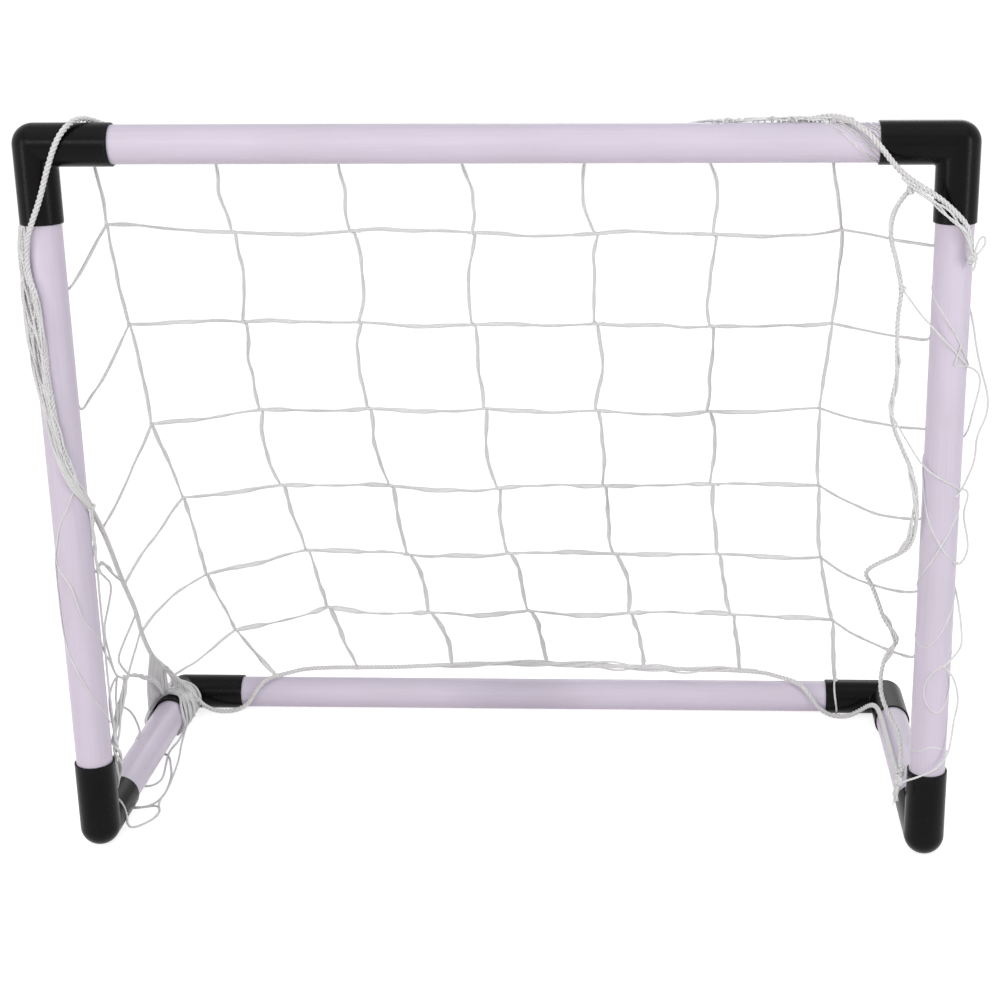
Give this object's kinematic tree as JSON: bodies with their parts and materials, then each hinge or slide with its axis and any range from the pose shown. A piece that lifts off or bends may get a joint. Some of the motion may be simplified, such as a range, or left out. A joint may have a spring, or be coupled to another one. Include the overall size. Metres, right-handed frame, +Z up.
{
  "type": "training goal",
  "caption": "Small free-standing training goal of plastic tubes pushed into moulded corner elbows, with a sloping knotted net and a braided edge rope.",
  "frame": {"origin": "on the floor, under the middle of the frame, halfway between the front and rear tube axes", "axes": "+Z up, +X to the right as seen from the front, +Y from the open mouth towards the back"},
  "size_m": [0.6128, 0.273, 0.5124],
  "materials": {
    "tube": "satin white extruded tube",
    "elbow": "satin black moulding",
    "twine": "white knotted twine",
    "rope": "white braided cord"
  },
  "bodies": {
    "root": {"crossbar_tube": "tube", "left_upright_tube": "tube", "right_upright_tube": "tube", "left_base_tube": "tube", "right_base_tube": "tube", "rear_base_tube": "tube", "top_left_elbow": "elbow", "top_right_elbow": "elbow", "front_left_elbow": "elbow", "front_right_elbow": "elbow", "rear_left_elbow": "elbow", "rear_right_elbow": "elbow", "back_net": "twine", "left_side_net": "twine", "right_side_net": "twine", "edge_rope": "rope", "right_edge_rope": "rope"}
  },
  "joints": []
}
